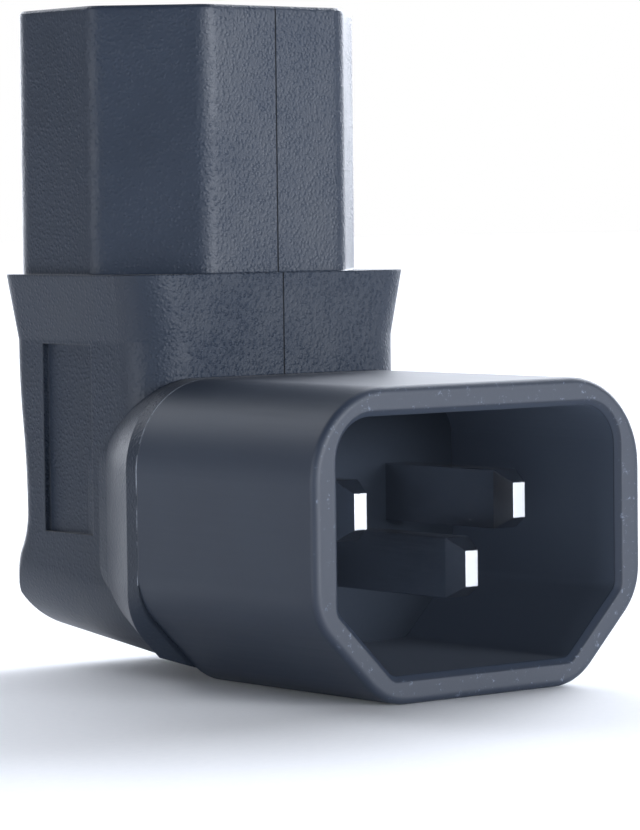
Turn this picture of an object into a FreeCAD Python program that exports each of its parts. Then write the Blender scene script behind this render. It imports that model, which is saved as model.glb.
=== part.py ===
import FreeCAD, Part
import math
import os

from FreeCAD import Placement, Rotation, Vector

# A mains adapter that turns through a right angle: a socket nose points up and a plug shroud points to
# the front (-Y). Millimetres. The shapes are drawn about the socket's axis and moved at the end, so that
# the origin is under the middle of the whole part, on the surface that it stands on.

# Pins and slots, the same layout at both ends
pin_width = 4.0
pin_thickness = 2.0
pin_pitch = 14.0  # line to neutral
earth_offset = 4.0  # from the line and neutral row to the earth pin

# Plug shroud
plug_reach = 29.2  # from the socket's axis to the rim
cavity_width = 24.4
cavity_height = 16.9
cavity_depth = 17.0
cavity_corner = 2.8
cavity_chamfer = 4.5
cavity_blend = 1.0
shroud_side_wall = 2.15
shroud_top_wall = 1.9
shroud_corner = 6.1
shroud_chamfer = 5.9
shroud_blend = 4.5
shroud_exposed = 18.8  # rim to the seam with the soft body
rim_round = 0.5
mouth_bevel = 0.4  # inner edge of the rim
spigot_inset = 3.2
spigot_length = 1.5
lock_inset = 2.4
lock_length = 1.0

# Plug pins
live_recess = 4.2  # pin tip below the rim
earth_recess = 1.2
tip_length = 1.5
tip_width = 2.4
tip_thickness = 1.05
stop_width = 5.4
stop_thickness = 3.0
stop_length = 0.8

# Socket nose and its insert
nose_width = 23.5
nose_depth = 15.9
nose_length = 18.5
nose_corner = 2.5
nose_chamfer = 5.7
nose_blend = 1.8
nose_bevel = 0.2
nose_wall = 1.9
insert_length = 19.0
cap_thickness = 1.5
slot_clearance = 0.3  # round the mating pin
chamber_thickness = 3.8
chamber_width = 6.0
slot_lip = 1.3

# Spring contacts
contact_width = 5.2
contact_headroom = 0.7  # below the slots' lip
blade_thickness = 0.45
blade_root_gap = 2.5
blade_throat_gap = 1.8
blade_mouth_gap = 2.6
throat_share = 0.68  # of the blade's height
contact_web = 0.6
tab_width = 3.0
tab_thickness = 1.0
tab_length = 5.0  # below the cap

# Stamped links between the pins and the contacts
link_thickness = 0.8
link_width = 3.2
tail_thickness = 1.4  # end of the pin, staked into its link
tail_width = 2.4

# First shot round the links
mould_side = 2.3  # beyond the middles of the line and neutral pins
mould_back = 4.6
mould_front = 5.8  # above the plug
mould_bottom = 4.6
mould_step = 17.5  # height where the front steps back
mould_heel = 3.0

# Soft body
flange_width = 24.9
flange_front = 8.5
flange_back = 8.8
flange_front_corner = 3.0
flange_back_corner = 2.2
flange_height = 27.8  # top of the flange above the table
neck_height = 23.2
neck_front_corner = 3.5
flare_inset = 0.8  # flanks and back at the neck, drawn in from the flange
waist_height = 11.0
waist_inset = 1.6  # back only
heel_height = 6.65
heel_inset = 0.4  # back only
side_round = 5.0  # flank to underside
heel_round = 6.5  # back to underside
keel_half_width = 1.2  # level strip along the middle of the underside
keel_start = 0.5  # where the underside lifts off the table, behind the socket's axis
keel_slope = 6.6  # degrees, rising to the back
crown_slope = 15.6  # degrees, rising to each side
collar_length = 1.2
collar_step = 0.4  # how far the cuff's chamfer falls short of the shroud's, at the seam
ramp_chamfer = 4.45  # at the cuff's back edge
ramp_length = 5.6
ramp_rise = 2.45
ramp_lift = 1.15
foot_length = 3.0  # where the ramp flattens out into the flank
foot_rise = 0.6
foot_lift = 0.6

# Recessed panel on the left flank
panel_front = -1.6
panel_back = 4.1
panel_bottom = 9.75
panel_top = 22.95
panel_recess = 0.45

# Worked out from the sizes above
shroud_width = cavity_width + 2 * shroud_side_wall
shroud_height = cavity_height + 2 * shroud_top_wall
plug_axis_height = shroud_height / 2
nose_top = flange_height + nose_length
cap_bottom = nose_top - insert_length - cap_thickness
contact_base = nose_top - insert_length
mould_half_width = pin_pitch / 2 + mould_side
contact_height = insert_length - slot_lip - contact_headroom
seam = plug_reach - shroud_exposed
shroud_rear = seam - spigot_length - lock_length
cavity_base = plug_reach - cavity_depth
tab_end = cap_bottom - tab_length
joint_height = tab_end + tab_width / 2  # where a link meets its tab
tiny = 0.01  # for picking edges
body_shift = Vector(0, (plug_reach - flange_back) / 2, 0)
plug_frame = Placement(Vector(0, 0, plug_axis_height), Rotation(Vector(1, 0, 0), 90))
tool_reach = 2 * (plug_reach + nose_top)  # longer than the part, for cutting tools

# Each circuit: the side and row it takes at the plug, its pin's setback, and whether its link lies in front
# of its contact (-1) or behind it (1), so that line and neutral cross without touching
circuits = {
    "line": {"side": -1, "row": 1, "recess": live_recess, "lay": 1},
    "neutral": {"side": 1, "row": 1, "recess": live_recess, "lay": -1},
    "earth": {"side": 0, "row": -1, "recess": earth_recess, "lay": -1},
}


def outline(corners, height=0.0):
    """Closed wire through (x, y, radius) corners. A radius above 0 rounds its corner with an arc."""
    starts = []
    ends = []
    middles = []
    count = len(corners)
    for index, (x, y, radius) in enumerate(corners):
        here = Vector(x, y, height)
        before = (Vector(*corners[index - 1][:2], height) - here).normalize()
        after = (Vector(*corners[(index + 1) % count][:2], height) - here).normalize()
        half_angle = before.getAngle(after) / 2
        setback = radius / math.tan(half_angle)
        bisector = (before + after).normalize()
        starts.append(here + before * setback)
        ends.append(here + after * setback)
        middles.append(here + bisector * (radius / math.sin(half_angle) - radius))
    edges = []
    for index in range(count):
        if corners[index][2] > 0:
            edges.append(Part.Arc(starts[index], middles[index], ends[index]).toShape())
        edges.append(Part.LineSegment(ends[index], starts[(index + 1) % count]).toShape())
    return Part.Wire(edges)


def slab(corners, low, high):
    """Outline raised into a solid between two heights."""
    return Part.Face(outline(corners, low)).extrude(Vector(0, 0, high - low))


def keyed(width, depth, corner, chamfer, blend, inset=0.0):
    """Corners of a block whose two earth-side corners (at -Y) are cut off, as both fittings are keyed."""
    half_width = width / 2 - inset
    half_depth = depth / 2 - inset
    cut = chamfer - inset * (2 - math.sqrt(2))
    radius = corner - inset
    return [
        (half_width, half_depth, radius),
        (-half_width, half_depth, radius),
        (-half_width, cut - half_depth, blend),
        (cut - half_width, -half_depth, blend),
        (half_width - cut, -half_depth, blend),
        (half_width, cut - half_depth, blend),
    ]


def block(size_x, size_y, low, high, x=0.0, y=0.0):
    """Box about a point, between two heights."""
    return Part.makeBox(size_x, size_y, high - low, Vector(x - size_x / 2, y - size_y / 2, low))


def plug_spot(circuit):
    """Place of a pin in the plug's own frame, where +Z points out of the shroud."""
    return circuit["side"] * pin_pitch / 2, circuit["row"] * earth_offset / 2


def socket_spot(circuit):
    """Place of a slot in the nose. Line and neutral have changed sides on the way."""
    return -circuit["side"] * pin_pitch / 2, circuit["row"] * earth_offset / 2


def shroud_corners(inset=0.0, blend=shroud_blend):
    return keyed(shroud_width, shroud_height, shroud_corner, shroud_chamfer, blend, inset)


def insert_corners():
    return keyed(nose_width, nose_depth, nose_corner, nose_chamfer, nose_blend, nose_wall)


def shroud_root():
    """Part of the shroud that the soft body grips: a spigot with a locking rim behind it."""
    spigot = slab(shroud_corners(spigot_inset, cavity_blend), shroud_rear, seam)
    lock = slab(shroud_corners(lock_inset, cavity_blend), shroud_rear, shroud_rear + lock_length)
    return spigot.fuse(lock).removeSplitter()


def cavity_corners(inset=0.0):
    return keyed(cavity_width, cavity_height, cavity_corner, cavity_chamfer, cavity_blend, inset)


def plug_shroud():
    """Shell round the pins, with a keyed cavity, a rounded rim and the root that locks it in."""
    shell = slab(shroud_corners(), seam, plug_reach)
    rim = [edge for edge in shell.Edges if edge.BoundBox.ZMin > plug_reach - rim_round]
    shell = shell.makeFillet(rim_round, rim)
    mouth_low = outline(cavity_corners(), plug_reach - mouth_bevel)
    mouth_high = outline(cavity_corners(-mouth_bevel), plug_reach)
    mouth = Part.makeLoft([mouth_low, mouth_high], True, True)
    shell = shell.cut([slab(cavity_corners(), cavity_base, plug_reach), mouth])
    shroud = shell.fuse(shroud_root()).removeSplitter()
    for circuit in circuits.values():
        x, y = plug_spot(circuit)
        shroud = shroud.cut(block(pin_thickness, pin_width, shroud_rear, cavity_base, x, y))
    return place_plug(shroud)


def place_plug(shape):
    """Turn a shape from the plug's own frame to its place on the adapter."""
    placed = shape.copy()
    placed.Placement = plug_frame
    return placed


def rectangle(size_x, size_y, x, y, height):
    half_x = size_x / 2
    half_y = size_y / 2
    points = [(-half_x, -half_y), (half_x, -half_y), (half_x, half_y), (-half_x, half_y)]
    return [Vector(x + u, y + v, height) for u, v in points]


def tapered(low, high):
    """Flat-sided solid between two four-cornered ends."""
    loops = [low, high]
    for index in range(4):
        loops.append([low[index - 1], low[index], high[index], high[index - 1]])
    faces = [Part.Face(Part.makePolygon(loop + loop[:1])) for loop in loops]
    return Part.Solid(Part.Shell(faces))


def pin(circuit):
    """Flat pin with a tapered tip, a stop behind the shroud's base and a tail for its link."""
    x, y = plug_spot(circuit)
    tip = plug_reach - circuit["recess"]
    shoulder = tip - tip_length
    shank = block(pin_thickness, pin_width, shroud_rear, shoulder, x, y)
    point = tapered(
        rectangle(pin_thickness, pin_width, x, y, shoulder),
        rectangle(tip_thickness, tip_width, x, y, tip),
    )
    return place_plug(shank.fuse([point, pin_root(circuit)]).removeSplitter())


def pin_root(circuit):
    """Stop and tail of a pin, in the plug's own frame."""
    x, y = plug_spot(circuit)
    stop_end = shroud_rear - stop_length
    stop = block(stop_thickness, stop_width, stop_end, shroud_rear, x, y)
    link_back = link_front(circuit) + link_thickness
    return stop.fuse(block(tail_thickness, tail_width, -link_back, stop_end, x, y))


def link_front(circuit):
    """Front face of a link. It lies flat on one side of its contact's tab."""
    row = socket_spot(circuit)[1]
    return row + circuit["lay"] * (tab_thickness + link_thickness) / 2 - link_thickness / 2


def link_plate(circuit):
    """Flat strip from the pin's tail up to the contact's tab."""
    pin_x, pin_row = plug_spot(circuit)
    pin_height = plug_axis_height + pin_row
    contact_x = socket_spot(circuit)[0]
    run = Vector(contact_x - pin_x, joint_height - pin_height, 0).normalize() * (link_width / 2)
    side = Vector(-run.y, run.x, 0)
    low = Vector(pin_x, pin_height, 0) - run
    high = Vector(contact_x, joint_height, 0) + run
    corners = [low + side, low - side, high - side, high + side]
    plate = slab([(corner.x, corner.y, 0) for corner in corners], 0, link_thickness)
    link_back = link_front(circuit) + link_thickness
    plate.Placement = Placement(Vector(0, link_back, 0), Rotation(Vector(1, 0, 0), 90))
    return plate


def link(circuit):
    return link_plate(circuit).cut(place_plug(pin_root(circuit)))


def socket_insert():
    """Hard block in the nose: chambers from behind, with narrower slots through the face."""
    insert = slab(insert_corners(), contact_base, nose_top)
    for circuit in circuits.values():
        x, y = socket_spot(circuit)
        chamber = block(chamber_thickness, chamber_width, contact_base, nose_top - slot_lip, x, y)
        slot_thickness = pin_thickness + 2 * slot_clearance
        slot_width = pin_width + 2 * slot_clearance
        slot = block(slot_thickness, slot_width, contact_base, nose_top, x, y)
        insert = insert.cut(chamber.fuse(slot))
    return insert


def insert_cap():
    cap = slab(insert_corners(), cap_bottom, contact_base)
    for circuit in circuits.values():
        cap = cap.cut(contact_tab(circuit))
    return cap


def contact(circuit):
    """Two bowed spring blades on a web, cut from one strip, with a tab through the cap."""
    throat = contact_web + throat_share * (contact_height - contact_web)

    def blade_line(side, offset):
        return Part.Arc(
            Vector(side * (blade_root_gap / 2 + offset), 0, contact_web),
            Vector(side * (blade_throat_gap / 2 + offset), 0, throat),
            Vector(side * (blade_mouth_gap / 2 + offset), 0, contact_height),
        ).toShape()

    edges = []
    for side in (-1, 1):
        inner = blade_line(side, 0.0)
        outer = blade_line(side, blade_thickness)
        edges.append(inner)
        edges.append(outer)
        edges.append(Part.makeLine(inner.Vertexes[-1].Point, outer.Vertexes[-1].Point))
        foot = Vector(outer.Vertexes[0].X, 0, 0)
        edges.append(Part.makeLine(outer.Vertexes[0].Point, foot))
    root = blade_root_gap / 2
    heel = root + blade_thickness
    edges.append(Part.makeLine(Vector(-root, 0, contact_web), Vector(root, 0, contact_web)))
    edges.append(Part.makeLine(Vector(-heel, 0, 0), Vector(heel, 0, 0)))
    profile = Part.Wire(Part.__sortEdges__(edges))
    blades = Part.Face(profile).extrude(Vector(0, contact_width, 0))
    x, y = socket_spot(circuit)
    blades.translate(Vector(x, y - contact_width / 2, contact_base))
    return blades.fuse(contact_tab(circuit)).removeSplitter()


def contact_tab(circuit):
    return block(tab_width, tab_thickness, tab_end, contact_base, *socket_spot(circuit))


def mould_envelope():
    """Block of the first shot, stepped over the plug and rounded at the heel."""
    lower_front = -shroud_rear
    profile = [
        (lower_front, mould_bottom, 0),
        (mould_back, mould_bottom, mould_heel),
        (mould_back, cap_bottom, 0),
        (-mould_front, cap_bottom, 0),
        (-mould_front, mould_step, 0),
        (lower_front, mould_step, 0),
    ]
    solid = slab(profile, -mould_half_width, mould_half_width)
    solid.Placement = Placement(Vector(0, 0, 0), Rotation(Vector(1, 1, 1), 120))
    return solid


def inner_mould():
    mould = mould_envelope()
    for circuit in circuits.values():
        mould = mould.cut([place_plug(pin_root(circuit)), link_plate(circuit), contact_tab(circuit)])
    return mould


def s_curve(x_top, z_top, x_low, z_low):
    """Two equal arcs that leave one height upright and reach the next upright."""
    fall = z_top - z_low
    shift = x_low - x_top
    radius = (fall**2 + shift**2) / (4 * abs(shift))
    bulge = math.copysign(radius - math.sqrt(radius**2 - (fall / 4) ** 2), shift)
    middle = Vector((x_top + x_low) / 2, 0, (z_top + z_low) / 2)
    upper = Part.Arc(Vector(x_top, 0, z_top), Vector(x_top + bulge, 0, z_top - fall / 4), middle)
    lower = Part.Arc(middle, Vector(x_low - bulge, 0, z_low + fall / 4), Vector(x_low, 0, z_low))
    return [upper.toShape(), lower.toShape()]


def upright_face(edges, points):
    """Face in the XZ plane, closed from curved edges by straight ones through the (x, z) points."""
    for start, end in zip(points, points[1:]):
        edges.append(Part.makeLine(Vector(start[0], 0, start[1]), Vector(end[0], 0, end[1])))
    return Part.Face(Part.Wire(edges))


def grip_outline(inset, front_corner, height):
    """Level outline of the grip, its flanks and back drawn in from the flange's edge."""
    side = flange_width / 2 - inset
    back = flange_back - inset
    back_corner = flange_back_corner - inset
    corners = [
        (-side, -flange_front, front_corner),
        (side, -flange_front, front_corner),
        (side, back, back_corner),
        (-side, back, back_corner),
    ]
    return outline(corners, height)


def flare():
    """Top of the grip, where the flanks and the back spread to the flange and the front stays upright."""
    neck = grip_outline(flare_inset, neck_front_corner, neck_height)
    flange = grip_outline(0, flange_front_corner, flange_height)
    return Part.makeLoft([neck, flange], True, True)


def is_upright(edge):
    return edge.BoundBox.ZLength > tiny


def lower_grip():
    """Block below the flare: flat flanks, a waisted back and rounded corners."""
    half_width = flange_width / 2 - flare_inset
    front = -flange_front
    neck, waist, heel = [flange_back - inset for inset in (flare_inset, waist_inset, heel_inset)]
    back = s_curve(neck, neck_height, waist, waist_height) + s_curve(waist, waist_height, heel, heel_height)
    floor = -heel_height
    face = upright_face(
        back, [(heel, heel_height), (heel, floor), (front, floor), (front, neck_height), (neck, neck_height)]
    )
    face.translate(Vector(0, -half_width, 0))
    solid = face.extrude(Vector(0, 2 * half_width, 0))
    solid.rotate(Vector(0, 0, 0), Vector(0, 0, 1), 90)
    back_edges = [edge for edge in solid.Edges if is_upright(edge) and edge.BoundBox.YMin > front + tiny]
    solid = solid.makeFillet(flange_back_corner - flare_inset, back_edges)
    front_edges = [edge for edge in solid.Edges if is_upright(edge) and edge.BoundBox.YMax < front + tiny]
    return solid.makeFillet(neck_front_corner, front_edges)


def grip():
    """Waisted block of the body with a crowned underside."""
    return flare().fuse(lower_grip()).removeSplitter().cut([side_tool(), heel_tool()])


def side_tool():
    """What is cut away under both flanks: it leaves a keel, a slight crown and round lower edges."""
    wall = flange_width / 2 - flare_inset
    edge = (wall - keel_half_width) * math.tan(math.radians(crown_slope))
    top = edge + side_round
    half = [(wall, edge, side_round), (wall, top, 0), (tool_reach, top, 0), (tool_reach, -tool_reach, 0)]
    left = [(-x, z, radius) for x, z, radius in reversed(half)]
    return under_grip(left + [(-keel_half_width, 0, 0), (keel_half_width, 0, 0)] + half)


def crown_tool():
    """What is cut away under the collar, in line with the crown of the grip's underside."""
    edge = (tool_reach - keel_half_width) * math.tan(math.radians(crown_slope))
    half = [(tool_reach, edge, 0), (tool_reach, -tool_reach, 0)]
    left = [(-x, z, radius) for x, z, radius in reversed(half)]
    return under_grip(left + [(-keel_half_width, 0, 0), (keel_half_width, 0, 0)] + half)


def under_grip(corners):
    """Outline across the part, drawn along the slope of the keel."""
    tool = slab(corners, -tool_reach, tool_reach)
    tool.rotate(Vector(0, 0, 0), Vector(1, 0, 0), 90 + keel_slope)
    tool.translate(Vector(0, keel_start, 0))
    return tool


def heel_tool():
    """What is cut away behind and below the heel, down to the table."""
    wall = flange_back - heel_inset
    edge = (wall - keel_start) * math.tan(math.radians(keel_slope))
    top = edge + heel_round
    corners = [
        (-tool_reach, -tool_reach, 0),
        (tool_reach, -tool_reach, 0),
        (tool_reach, top, 0),
        (wall, top, 0),
        (wall, edge, heel_round),
        (keel_start, 0, 0),
        (-tool_reach, 0, 0),
    ]
    tool = slab(corners, -tool_reach, tool_reach)
    tool.Placement = Placement(Vector(0, 0, 0), Rotation(Vector(1, 1, 1), 120))
    return tool


def drawn_in(corners, rise, lift):
    """The same corners moved in from both sides, with the lower ones raised."""
    return [(x - math.copysign(rise, x), y if y > 0 else y + lift, radius) for x, y, radius in corners]


def collar():
    """Soft cuff round the root of the shroud, with a hollow ramp back into the grip's flanks."""
    seam_corners, cuff_corners = [
        keyed(shroud_width, shroud_height, shroud_corner, chamfer, shroud_blend)
        for chamfer in (shroud_chamfer - collar_step, ramp_chamfer)
    ]
    ramp_corners = drawn_in(cuff_corners, ramp_rise, ramp_lift)
    foot_corners = drawn_in(ramp_corners, foot_rise, foot_lift)
    ramp_start = seam - collar_length
    foot_start = ramp_start - ramp_length
    sections = [
        outline(seam_corners, seam),
        outline(cuff_corners, ramp_start),
        outline(ramp_corners, foot_start),
        outline(foot_corners, foot_start - foot_length),
    ]
    return place_plug(Part.makeLoft(sections, True, True)).cut(crown_tool())


def rating_panel():
    """Shallow recess in the left flank."""
    depth = flare_inset + panel_recess
    return Part.makeBox(
        depth,
        panel_back - panel_front,
        panel_top - panel_bottom,
        Vector(-flange_width / 2, panel_front, panel_bottom),
    )


def outer_body():
    nose = slab(keyed(nose_width, nose_depth, nose_corner, nose_chamfer, nose_blend), flange_height, nose_top)
    lip = [edge for edge in nose.Edges if edge.BoundBox.ZMin > nose_top - nose_bevel]
    nose = nose.makeChamfer(nose_bevel, lip)
    shroud_space = place_plug(slab(shroud_corners(), seam, plug_reach))
    body = grip().cut([rating_panel(), shroud_space]).fuse([collar(), nose]).removeSplitter()
    body = body.cut(slab(insert_corners(), cap_bottom, nose_top))
    body = body.cut(place_plug(shroud_root()))
    return body.cut(mould_envelope())


def build():
    nodes = {
        "outer_body": outer_body(),
        "plug_shroud": plug_shroud(),
        "socket_insert": socket_insert(),
        "insert_cap": insert_cap(),
        "inner_mould": inner_mould(),
    }
    for name, circuit in circuits.items():
        nodes[name + "_pin"] = pin(circuit)
        nodes[name + "_contact"] = contact(circuit)
        nodes[name + "_link"] = link(circuit)
    return nodes


os.makedirs("parts", exist_ok=True)
for node, shape in build().items():
    moved = shape.copy()
    moved.translate(body_shift)
    moved.exportStep(f"parts/{node}.step")
    print(node, "valid" if moved.isValid() else "INVALID", len(moved.Solids), round(moved.Volume, 1))
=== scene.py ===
import math

import bpy
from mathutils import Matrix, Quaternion, Vector

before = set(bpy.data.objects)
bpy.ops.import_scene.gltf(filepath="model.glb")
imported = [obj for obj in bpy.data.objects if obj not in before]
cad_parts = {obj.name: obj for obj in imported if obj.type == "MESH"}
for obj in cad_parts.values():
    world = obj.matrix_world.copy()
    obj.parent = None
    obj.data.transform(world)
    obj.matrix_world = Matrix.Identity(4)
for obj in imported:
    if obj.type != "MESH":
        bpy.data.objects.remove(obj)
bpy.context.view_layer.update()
mm = 0.001
share, colourA, colourB, mixedColour = 0, 6, 7, 2  # sockets of a Mix node that mixes colours
vectorA, vectorB, mixedVector = 4, 5, 1  # and of one that mixes vectors
print("loaded", len(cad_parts), "solids")


def paint(code):  # sRGB hex to the linear colour that the shaders take
    parts = [int(code[i:i + 2], 16) / 255 for i in (1, 3, 5)]
    return tuple(p / 12.92 if p <= 0.04045 else ((p + 0.055) / 1.055) ** 2.4 for p in parts) + (1.0,)


def addNode(tree, kind, inputs=(), **settings):  # a node or a socket as a value makes a link
    made = tree.nodes.new(kind)
    for name, value in settings.items():
        setattr(made, name, value)
    for name, value in dict(inputs).items():
        if isinstance(value, bpy.types.Node):
            value = value.outputs[0]
        if isinstance(value, bpy.types.NodeSocket):
            tree.links.new(value, made.inputs[name])
        else:
            made.inputs[name].default_value = value
    return made


def startMaterial(name):
    made = bpy.data.materials.new(name)
    made.use_nodes = True
    tree = made.node_tree
    tree.nodes.clear()
    place = addNode(tree, "ShaderNodeTexCoord").outputs["Object"]
    return made, tree, place


def closeMaterial(tree, sockets):
    shader = addNode(tree, "ShaderNodeBsdfPrincipled", sockets)
    addNode(tree, "ShaderNodeOutputMaterial", {"Surface": shader})


# soft PVC, moulded in a spark-eroded tool: a matt blue-grey skin with a fine leathery grain that catches
# the light, a parting line down the middle, painted near black as painted shade in its groove, and a torn
# pale edge of flash where it meets the plug, whose pale colour is partly its own and partly a painted
# highlight along the seam
pvcLook = {  # sizes in mm, and what starts with by is how strong the grain stands
    "constants": {"IOR": 1.53, "Specular IOR Level": 0.32, "Sheen Weight": 0.04},
    # the parting line's near black is painted shade in its groove; the flash's pale grey is partly a
    # painted highlight
    "dark": "#1b2430", "pale": "#212b3a", "grooveShadeColour": "#06090f", "flashAndHighlightColour": "#8d949e",
    "mottleWidth": 5.0, "grainWidth": 0.3, "grainFill": 0.6, "grainDepth": 0.055,
    "pitWidth": 0.16, "pitHeight": 1.2,
    "byMottle": {"From Min": 0.35, "From Max": 0.65, "To Min": 0.5, "To Max": 1.0},
    "byFacing": {"From Min": -0.9, "From Max": -0.2, "To Min": 0.62, "To Max": 0.55},
    "byHeight": {"From Min": 4.0 * mm, "From Max": 16.0 * mm, "To Min": 0.45, "To Max": 1.0},
    "polish": {"From Min": 0.3, "From Max": 0.7, "To Min": 0.42, "To Max": 0.5},
    "front": {"From Min": -0.9, "From Max": -0.5, "To Min": 1.0, "To Max": 0.0},
    "gripTop": 27.8, "gripGrain": 0.65, "gripDullness": 0.11,
    "lineHalfWidth": 0.07, "lineCore": 0.028, "lineDepth": 0.05, "lineDullness": 0.5,
    "lineWander": 0.012, "wanderLength": 2.5,
    "flashFront": -0.09, "flashAbove": 7.0, "flashFacing": -0.5, "tearWidth": 2.5,
    "tear": {"From Min": 0.42, "From Max": 0.56},
    "edgeRadius": 0.22, "noseEdgeRadius": 0.9, "noseMiddle": 37.0, "noseHalf": 8.6, "noseFade": 0.5,
}
pvc, tree, place = startMaterial("softPvc")
axes = addNode(tree, "ShaderNodeSeparateXYZ", {0: place})
face = addNode(tree, "ShaderNodeNewGeometry").outputs["True Normal"]
facing = addNode(tree, "ShaderNodeSeparateXYZ", {0: face})
mottle = addNode(tree, "ShaderNodeTexNoise", {
    "Vector": place, "Scale": 1 / (pvcLook["mottleWidth"] * mm), "Detail": 4.0, "Roughness": 0.6})
front = addNode(tree, "ShaderNodeMapRange", {"Value": facing.outputs["Y"], **pvcLook["front"]})
belowFlange = addNode(tree, "ShaderNodeMath", {
    0: axes.outputs["Z"], 1: pvcLook["gripTop"] * mm}, operation="LESS_THAN")
gripFront = addNode(tree, "ShaderNodeMath", {0: front, 1: belowFlange}, operation="MULTIPLY")

# the grain: round bumps and finer pits, worn in patches and near the heel, coarse on the grip's front
cells = addNode(tree, "ShaderNodeTexVoronoi", {
    "Vector": place, "Scale": 1 / (pvcLook["grainWidth"] * mm), "Randomness": 1.0})
bumps = addNode(tree, "ShaderNodeMapRange", {
    "Value": cells.outputs["Distance"], "From Max": pvcLook["grainFill"], "To Min": 1.0, "To Max": 0.0},
    interpolation_type="SMOOTHSTEP")
pits = addNode(tree, "ShaderNodeTexNoise", {
    "Vector": place, "Scale": 1 / (pvcLook["pitWidth"] * mm), "Detail": 2.0, "Roughness": 0.5})
skin = addNode(tree, "ShaderNodeMath", {
    0: pits, 1: pvcLook["pitHeight"], 2: bumps}, operation="MULTIPLY_ADD")
byMottle = addNode(tree, "ShaderNodeMapRange", {"Value": mottle, **pvcLook["byMottle"]})
byFacing = addNode(tree, "ShaderNodeMapRange", {"Value": facing.outputs["Y"], **pvcLook["byFacing"]})
byHeight = addNode(tree, "ShaderNodeMapRange", {"Value": axes.outputs["Z"], **pvcLook["byHeight"]})
coarse = addNode(tree, "ShaderNodeMath", {
    0: gripFront, 1: pvcLook["gripGrain"], 2: byFacing}, operation="MULTIPLY_ADD")
patchy = addNode(tree, "ShaderNodeMath", {0: byMottle, 1: coarse}, operation="MULTIPLY")
strength = addNode(tree, "ShaderNodeMath", {0: patchy, 1: byHeight}, operation="MULTIPLY")

# the parting line, a hair off straight, painted near black as painted shade in its groove
wander = addNode(tree, "ShaderNodeTexNoise", {
    "Vector": place, "Scale": 1 / (pvcLook["wanderLength"] * mm), "Detail": 2.0})
drift = addNode(tree, "ShaderNodeMapRange", {
    "Value": wander, "To Min": -pvcLook["lineWander"] * mm, "To Max": pvcLook["lineWander"] * mm})
fromMiddle = addNode(tree, "ShaderNodeMath", {0: axes.outputs["X"], 1: drift}, operation="ADD")
offLine = addNode(tree, "ShaderNodeMath", {0: fromMiddle}, operation="ABSOLUTE")
line = addNode(tree, "ShaderNodeMapRange", {
    "Value": offLine, "From Min": pvcLook["lineCore"] * mm, "From Max": pvcLook["lineHalfWidth"] * mm,
    "To Min": 1.0, "To Max": 0.0}, interpolation_type="SMOOTHSTEP")

# the flash, on the outside of the collar's last tenth of a millimetre; its pale colour is partly the torn
# flash's own and partly a painted highlight along the seam's edge
tear = addNode(tree, "ShaderNodeTexNoise", {
    "Vector": place, "Scale": 1 / (pvcLook["tearWidth"] * mm), "Detail": 6.0, "Roughness": 0.6})
flashAndHighlight = addNode(tree, "ShaderNodeMapRange", {"Value": tear, **pvcLook["tear"]})
for value, limit, test in (
        (axes.outputs["Y"], pvcLook["flashFront"] * mm, "LESS_THAN"),
        (axes.outputs["Z"], pvcLook["flashAbove"] * mm, "GREATER_THAN"),
        (facing.outputs["Y"], pvcLook["flashFacing"], "GREATER_THAN")):
    kept = addNode(tree, "ShaderNodeMath", {0: value, 1: limit}, operation=test)
    flashAndHighlight = addNode(tree, "ShaderNodeMath", {0: flashAndHighlight, 1: kept}, operation="MULTIPLY")

colour = addNode(tree, "ShaderNodeMix", {
    share: mottle, colourA: paint(pvcLook["dark"]), colourB: paint(pvcLook["pale"])}, data_type="RGBA")
# the parting line is painted near black as painted shade in its groove; the flash is painted pale, partly
# as a painted highlight along the seam
for mask, code in ((line, pvcLook["grooveShadeColour"]), (flashAndHighlight, pvcLook["flashAndHighlightColour"])):
    colour = addNode(tree, "ShaderNodeMix", {
        share: mask, colourA: colour.outputs[mixedColour], colourB: paint(code)}, data_type="RGBA")
roughness = addNode(tree, "ShaderNodeMapRange", {"Value": mottle, **pvcLook["polish"]})
for mask, extra in ((gripFront, pvcLook["gripDullness"]), (line, pvcLook["lineDullness"])):
    roughness = addNode(tree, "ShaderNodeMath", {0: mask, 1: extra, 2: roughness}, operation="MULTIPLY_ADD")

# edges catch the light as moulded ones do, most of all the long edges of the nose
fromNose = addNode(tree, "ShaderNodeMath", {
    0: axes.outputs["Z"], 1: pvcLook["noseMiddle"] * mm}, operation="SUBTRACT")
alongNose = addNode(tree, "ShaderNodeMath", {0: fromNose}, operation="ABSOLUTE")
rounding = addNode(tree, "ShaderNodeMapRange", {
    "Value": alongNose, "From Min": pvcLook["noseHalf"] * mm,
    "From Max": (pvcLook["noseHalf"] + pvcLook["noseFade"]) * mm,
    "To Min": pvcLook["noseEdgeRadius"] * mm, "To Max": pvcLook["edgeRadius"] * mm})
soft = addNode(tree, "ShaderNodeBevel", {"Radius": rounding}, samples=8)
grainBump = addNode(tree, "ShaderNodeBump", {
    "Strength": strength, "Distance": pvcLook["grainDepth"] * mm, "Height": skin, "Normal": soft})
lineBump = addNode(tree, "ShaderNodeBump", {
    "Strength": 1.0, "Distance": pvcLook["lineDepth"] * mm, "Height": line, "Normal": grainBump},
    invert=True)
closeMaterial(tree, {
    **pvcLook["constants"], "Base Color": colour.outputs[mixedColour], "Roughness": roughness,
    "Normal": lineBump})
print("soft PVC done")
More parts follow.
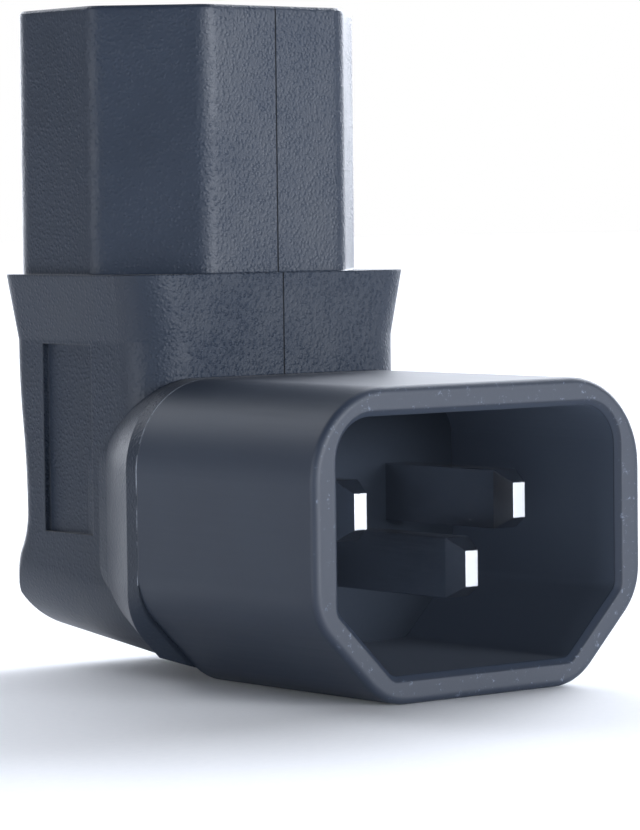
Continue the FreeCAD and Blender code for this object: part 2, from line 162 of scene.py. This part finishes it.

# rigid polyamide shell from a polished tool: the same blue-grey, smoother, with a satin gloss and faint
# flow clouds, a nicked rim and a dull cavity, whose walls are painted paler as painted light and whose back
# face is painted darker as painted shade
shellLook = {  # sizes in mm, with the cavity's axis along Y
    "constants": {"IOR": 1.53, "Specular IOR Level": 0.43},
    "dark": "#232b39", "pale": "#293341", "rubbed": "#272e3a", "nick": "#626c7b",
    # painted shade on the cavity's back face and painted light on its walls
    "base": "#202833", "wall": "#505a69",
    "cloudWidth": 7.0, "speckWidth": 0.14, "speckDepth": 0.004, "scratchWidth": 0.25, "nickWidth": 0.4,
    "alongPlug": (1.0, 0.04, 1.0),
    "rim": {"From Min": -18.75 * mm, "From Max": -18.95 * mm},
    "nicks": {"From Min": 0.6, "From Max": 0.72},
    "axisHeight": 10.35, "mouth": -18.55, "inwards": 1.0,
    "litWallShare": {"From Min": -1.0 * mm, "From Max": -6.0 * mm},
    "polish": {"From Min": 0.3, "From Max": 0.7, "To Min": 0.51, "To Max": 0.54},
    "dullInside": 0.4, "edgeRadius": 0.18,
}
shell, tree, place = startMaterial("polyamideShell")
axes = addNode(tree, "ShaderNodeSeparateXYZ", {0: place})
face = addNode(tree, "ShaderNodeNewGeometry").outputs["True Normal"]
cloud = addNode(tree, "ShaderNodeTexNoise", {
    "Vector": place, "Scale": 1 / (shellLook["cloudWidth"] * mm), "Detail": 3.0})
specks = addNode(tree, "ShaderNodeTexNoise", {
    "Vector": place, "Scale": 1 / (shellLook["speckWidth"] * mm), "Detail": 2.0})
drawn = addNode(tree, "ShaderNodeMapping", {"Vector": place, "Scale": shellLook["alongPlug"]})
scratch = addNode(tree, "ShaderNodeTexNoise", {
    "Vector": drawn, "Scale": 1 / (shellLook["scratchWidth"] * mm), "Detail": 3.0})
rim = addNode(tree, "ShaderNodeMapRange", {"Value": axes.outputs["Y"], **shellLook["rim"]})
nicks = addNode(tree, "ShaderNodeTexNoise", {
    "Vector": place, "Scale": 1 / (shellLook["nickWidth"] * mm), "Detail": 5.0, "Roughness": 0.7})
nicked = addNode(tree, "ShaderNodeMapRange", {"Value": nicks, **shellLook["nicks"]})
onRim = addNode(tree, "ShaderNodeMath", {0: nicked, 1: rim}, operation="MULTIPLY")

# a face is in the cavity if it is past the mouth and looks towards the axis
fromAxis = addNode(tree, "ShaderNodeVectorMath", {
    0: place, 1: (0.0, 0.0, -shellLook["axisHeight"] * mm)}, operation="ADD")
outward = addNode(tree, "ShaderNodeVectorMath", {0: fromAxis, 1: (1.0, 0.0, 1.0)}, operation="MULTIPLY")
leaning = addNode(tree, "ShaderNodeVectorMath", {0: outward, 1: face}, operation="DOT_PRODUCT")
lean = leaning.outputs["Value"]
facingIn = addNode(tree, "ShaderNodeMath", {0: lean, 1: shellLook["inwards"] * mm}, operation="LESS_THAN")
pastMouth = addNode(tree, "ShaderNodeMath", {
    0: axes.outputs["Y"], 1: shellLook["mouth"] * mm}, operation="GREATER_THAN")
inside = addNode(tree, "ShaderNodeMath", {0: facingIn, 1: pastMouth}, operation="MULTIPLY")
# painted light and shade in the cavity: the walls get the paler colour, the back face the darker one
litWallShare = addNode(tree, "ShaderNodeMapRange", {"Value": lean, **shellLook["litWallShare"]})
cavityLightAndShade = addNode(tree, "ShaderNodeMix", {
    share: litWallShare, colourA: paint(shellLook["base"]), colourB: paint(shellLook["wall"])}, data_type="RGBA")

colour = addNode(tree, "ShaderNodeMix", {
    share: cloud, colourA: paint(shellLook["dark"]), colourB: paint(shellLook["pale"])}, data_type="RGBA")
for mask, over in ((rim, paint(shellLook["rubbed"])), (onRim, paint(shellLook["nick"])),
                   (inside, cavityLightAndShade.outputs[mixedColour])):
    colour = addNode(tree, "ShaderNodeMix", {
        share: mask, colourA: colour.outputs[mixedColour], colourB: over}, data_type="RGBA")
polish = addNode(tree, "ShaderNodeMapRange", {"Value": scratch, **shellLook["polish"]})
roughness = addNode(tree, "ShaderNodeMath", {
    0: inside, 1: shellLook["dullInside"], 2: polish}, operation="MULTIPLY_ADD")
soft = addNode(tree, "ShaderNodeBevel", {"Radius": shellLook["edgeRadius"] * mm}, samples=6)
crisp = addNode(tree, "ShaderNodeMix", {  # the cavity's inner corners stay sharp
    share: inside, vectorA: soft.outputs[0], vectorB: face}, data_type="VECTOR")
speckBump = addNode(tree, "ShaderNodeBump", {
    "Strength": 1.0, "Distance": shellLook["speckDepth"] * mm, "Height": specks,
    "Normal": crisp.outputs[mixedVector]})
closeMaterial(tree, {
    **shellLook["constants"], "Base Color": colour.outputs[mixedColour], "Roughness": roughness,
    "Normal": speckBump})
print("shell done")


def patternedFinish(name, look):  # one noise pattern sets colour, roughness and bump
    made, tree, place = startMaterial(name)
    drawn = addNode(tree, "ShaderNodeMapping", {"Vector": place, "Scale": look["stretch"]})
    pattern = addNode(tree, "ShaderNodeTexNoise", {
        "Vector": drawn, "Scale": 1 / (look["width"] * mm), "Detail": look["detail"],
        "Distortion": look["distortion"]})
    colour = addNode(tree, "ShaderNodeMix", {
        share: pattern, colourA: paint(look["dark"]), colourB: paint(look["pale"])}, data_type="RGBA")
    roughness = addNode(tree, "ShaderNodeMapRange", {
        "Value": pattern, "To Min": look["roughness"][0], "To Max": look["roughness"][1]})
    bump = addNode(tree, "ShaderNodeBump", {
        "Strength": 1.0, "Distance": look["depth"] * mm, "Height": pattern})
    if "edgeRadius" in look:
        soft = addNode(tree, "ShaderNodeBevel", {"Radius": look["edgeRadius"] * mm}, samples=6)
        tree.links.new(soft.outputs[0], bump.inputs["Normal"])
    closeMaterial(tree, {
        **look["constants"], "Base Color": colour.outputs[mixedColour], "Roughness": roughness,
        "Normal": bump})
    return made


evenly = (1.0, 1.0, 1.0)

# rigid PBT block behind the slots: near black, dry and slightly speckled by its glass filler
insertBlock = patternedFinish("glassFilledPbt", {
    "constants": {"IOR": 1.55, "Specular IOR Level": 0.25}, "dark": "#15171b", "pale": "#22252b",
    "width": 0.2, "depth": 0.006, "stretch": evenly, "detail": 3.0, "distortion": 0.0,
    "roughness": (0.6, 0.75), "edgeRadius": 0.15})

# inner shot of PVC, never polished: dull grey with flow streaks
innerShot = patternedFinish("unpolishedPvc", {
    "constants": {"IOR": 1.53}, "dark": "#23262b", "pale": "#34383f",
    "width": 1.6, "depth": 0.03, "stretch": evenly, "detail": 5.0, "distortion": 1.2,
    "roughness": (0.55, 0.75)})

# bright nickel on brass, rolled then rubbed by use: mirror grey with lines along the pin, which are finer
# on a real one and drawn wide enough to show
nickel = patternedFinish("nickelPlate", {
    "constants": {"Metallic": 1.0}, "dark": "#b2b4b8", "pale": "#d4d5d8",
    "width": 0.06, "depth": 0.002, "stretch": (1.0, 0.03, 1.0), "detail": 3.0, "distortion": 0.0,
    "roughness": (0.16, 0.3), "edgeRadius": 0.1})

# spring brass strip, stamped: warm yellow with brown tarnish in patches, duller where it is tarnished
brass = patternedFinish("springBrass", {
    "constants": {"Metallic": 1.0}, "dark": "#8a6a37", "pale": "#d0b06a",
    "width": 1.5, "depth": 0.004, "stretch": evenly, "detail": 5.0, "distortion": 0.0,
    "roughness": (0.42, 0.24)})

finishes = {
    "outer_body": pvc, "plug_shroud": shell, "socket_insert": insertBlock, "insert_cap": insertBlock,
    "inner_mould": innerShot,
}
for circuit in ("line", "neutral", "earth"):
    finishes[circuit + "_pin"] = nickel
    finishes[circuit + "_contact"] = brass
    finishes[circuit + "_link"] = brass
for name, finish in finishes.items():
    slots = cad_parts[name].data.materials
    slots.clear()
    slots.append(finish)
print("materials on", len(finishes), "solids")

# pale paper sweep, matt, with the faintest tooth
floorLook = {  # half in metres, the rest in mm
    "half": 4.0, "drop": 0.02, "white": "#f7f7f8", "shade": "#f1f2f4", "toothWidth": 0.6,
    "constants": {"Roughness": 0.85, "Specular IOR Level": 0.2},
}
half = floorLook["half"]
level = -floorLook["drop"] * mm
corners = [(-half, -half, level), (half, -half, level), (half, half, level), (-half, half, level)]
floorMesh = bpy.data.meshes.new("floor")
floorMesh.from_pydata(corners, [], [(0, 1, 2, 3)])
floor = bpy.data.objects.new("floor", floorMesh)
bpy.context.scene.collection.objects.link(floor)
paper, tree, place = startMaterial("mattPaper")
tooth = addNode(tree, "ShaderNodeTexNoise", {
    "Vector": place, "Scale": 1 / (floorLook["toothWidth"] * mm)})
colour = addNode(tree, "ShaderNodeMix", {
    share: tooth, colourA: paint(floorLook["shade"]), colourB: paint(floorLook["white"])}, data_type="RGBA")
closeMaterial(tree, {**floorLook["constants"], "Base Color": colour.outputs[mixedColour]})
floorMesh.materials.append(paper)
print("floor laid")

# a dim room with a white sweep behind, and big soft lamps so far off that they light the floor evenly
studio = {  # spread in degrees
    "room": 0.02, "sweep": 1.0, "tint": (0.88, 0.92, 1.0), "white": (1.0, 1.0, 1.0, 1.0),
    "lamps": {
        "rightFront": {"from": (0.35, -0.93, 0.03), "spread": 30, "strength": 5.1},
        "front": {"from": (-0.15, -0.97, 0.0), "spread": 40, "strength": 2.8},
        "leftStrip": {"from": (-0.97, 0.1, 0.1), "spread": 25, "strength": 1.55},
        "right": {"from": (0.92, 0.3, 0.36), "spread": 36, "strength": 4.0},
        "behind": {"from": (0.63, 0.77, 0.38), "spread": 56, "strength": 3.0},
        "topHighlight": {"from": (-0.14, 0.77, 0.62), "spread": 32, "strength": 0.95},
        "overRight": {"from": (0.7, 0.25, 0.65), "spread": 40, "strength": 0.8},
        "rampGlow": {"from": (0.25, 0.96, 0.08), "spread": 30, "strength": 2.2},
    },
}
world = bpy.data.worlds.new("room")
bpy.context.scene.world = world
world.use_nodes = True
tree = world.node_tree
tree.nodes.clear()
room = addNode(tree, "ShaderNodeBackground", {"Color": studio["white"], "Strength": studio["room"]})
sweep = addNode(tree, "ShaderNodeBackground", {"Color": studio["white"], "Strength": studio["sweep"]})
seen = addNode(tree, "ShaderNodeLightPath").outputs["Is Camera Ray"]
both = addNode(tree, "ShaderNodeMixShader", {0: seen, 1: room, 2: sweep})
addNode(tree, "ShaderNodeOutputWorld", {"Surface": both})
for name, look in studio["lamps"].items():
    lamp = bpy.data.lights.new(name, "SUN")
    lamp.energy = look["strength"]
    lamp.color = studio["tint"]
    lamp.angle = math.radians(look["spread"])
    holder = bpy.data.objects.new(name, lamp)
    holder.rotation_mode = "QUATERNION"
    holder.rotation_quaternion = Vector(look["from"]).to_track_quat("Z", "Y")
    bpy.context.scene.collection.objects.link(holder)
bpy.context.scene.view_settings.view_transform = "Standard"
print("studio lit")

shot = {  # metres, with lens and sensor in mm
    "at": (-0.16664, -0.20577, 0.03169), "target": (-0.00219132, -0.00483913, 0.01814689),
    "rollDegrees": -0.6547, "lens": 165.609, "sensorWidth": 36.0, "clipStart": 0.01, "clipEnd": 20.0,
}
cameraData = bpy.data.cameras.new("camera")
cameraData.lens = shot["lens"]
cameraData.sensor_width = shot["sensorWidth"]
cameraData.clip_start = shot["clipStart"]
cameraData.clip_end = shot["clipEnd"]
camera = bpy.data.objects.new("camera", cameraData)
camera.location = shot["at"]
camera.rotation_mode = "QUATERNION"
aim = (Vector(shot["target"]) - Vector(shot["at"])).to_track_quat("-Z", "Y")
camera.rotation_quaternion = aim @ Quaternion((0.0, 0.0, 1.0), math.radians(shot["rollDegrees"]))
bpy.context.scene.collection.objects.link(camera)
bpy.context.scene.camera = camera
print("camera set")
